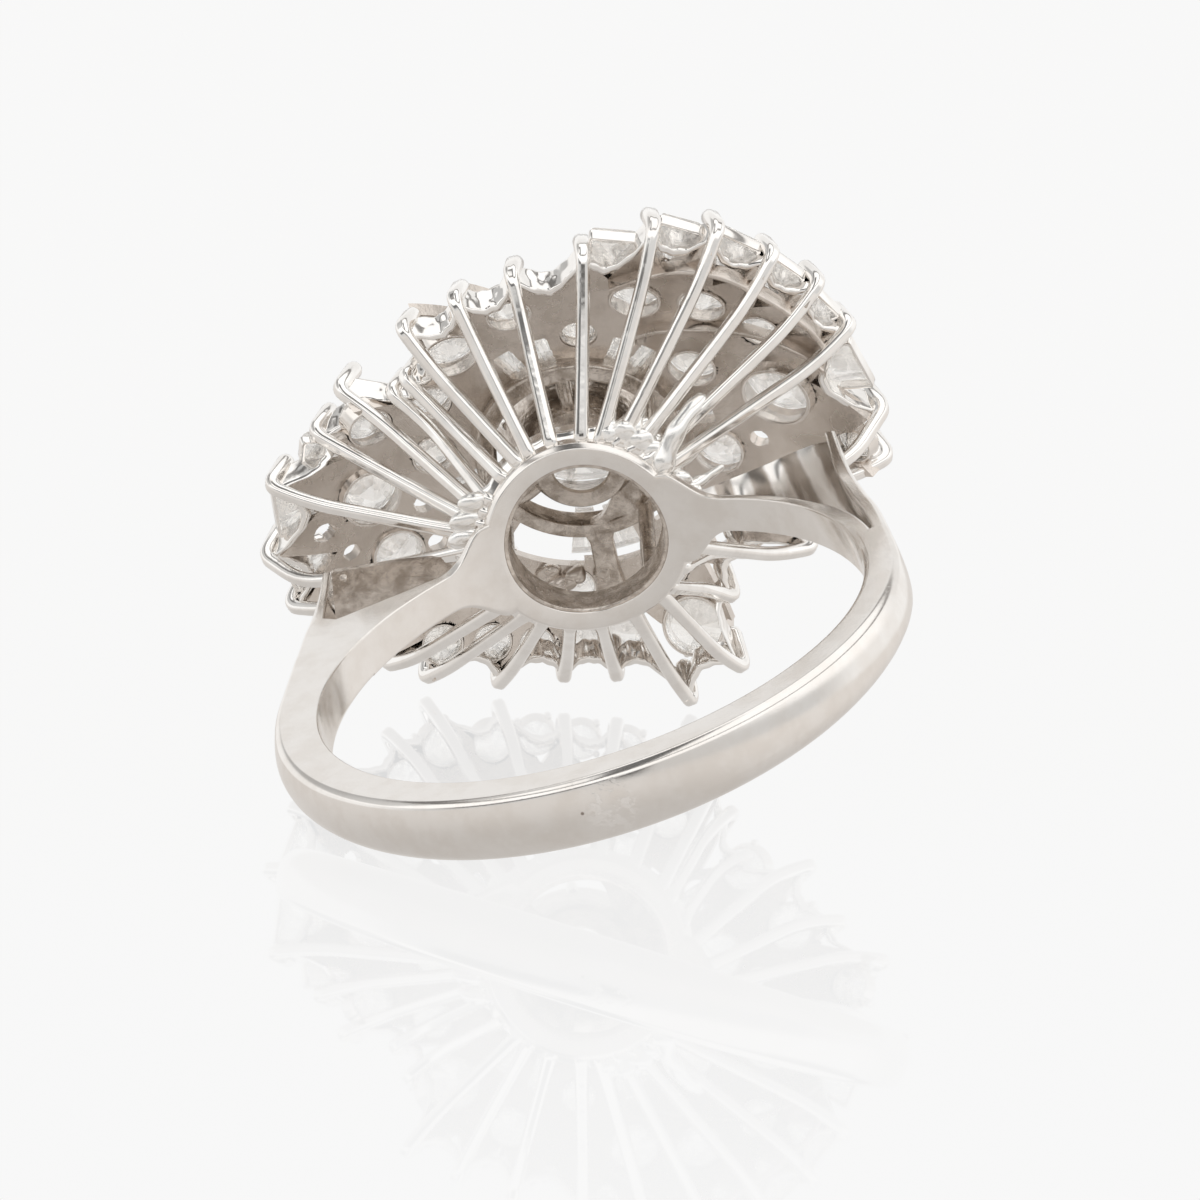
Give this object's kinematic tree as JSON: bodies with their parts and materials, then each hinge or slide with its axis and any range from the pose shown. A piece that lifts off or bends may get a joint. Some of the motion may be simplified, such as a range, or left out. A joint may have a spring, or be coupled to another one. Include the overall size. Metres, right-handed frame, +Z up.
{
  "type": "diamond cocktail ring",
  "caption": "Finger ring lying on its side: tapered band, split shoulders, and an open wirework head carrying a domed spray of round and tapered clear stones.",
  "frame": {"origin": "centre of the finger hole, at the middle of the band's width", "axes": "the ring lies on its side as it rests by itself: +Z up, the finger hole's axis leaning from +Z by the roll and pitch at which it rests; +Y from the palm side of the band towards the head; +X across the band"},
  "size_m": [0.0199, 0.0275, 0.0166],
  "materials": {
    "white_gold": "polished warm white gold, worn satin inside the band, fine scratches",
    "white_gold_setting": "bright polished wirework, claws and stone plates",
    "diamond": "clear near-colourless cut stone"
  },
  "bodies": {
    "root": {"shank": "white_gold", "setting": "white_gold_setting", "centre_stone": "diamond", "round_1": "diamond", "round_2": "diamond", "round_3": "diamond", "round_4": "diamond", "round_5": "diamond", "round_6": "diamond", "round_7": "diamond", "round_8": "diamond", "round_9": "diamond", "round_10": "diamond", "round_11": "diamond", "round_12": "diamond", "round_13": "diamond", "round_14": "diamond", "round_15": "diamond", "round_16": "diamond", "round_17": "diamond", "round_18": "diamond", "round_19": "diamond", "round_20": "diamond", "round_21": "diamond", "round_22": "diamond", "round_23": "diamond", "round_24": "diamond", "round_25": "diamond", "round_26": "diamond", "round_27": "diamond", "tapered_1": "diamond", "tapered_2": "diamond", "tapered_3": "diamond", "tapered_4": "diamond", "tapered_5": "diamond", "tapered_6": "diamond", "tapered_7": "diamond", "tapered_8": "diamond", "tapered_9": "diamond", "tapered_10": "diamond", "tapered_11": "diamond", "baguette_1": "diamond", "baguette_2": "diamond", "baguette_3": "diamond", "baguette_4": "diamond", "baguette_5": "diamond", "baguette_6": "diamond", "baguette_7": "diamond", "baguette_8": "diamond", "baguette_9": "diamond"}
  },
  "joints": []
}
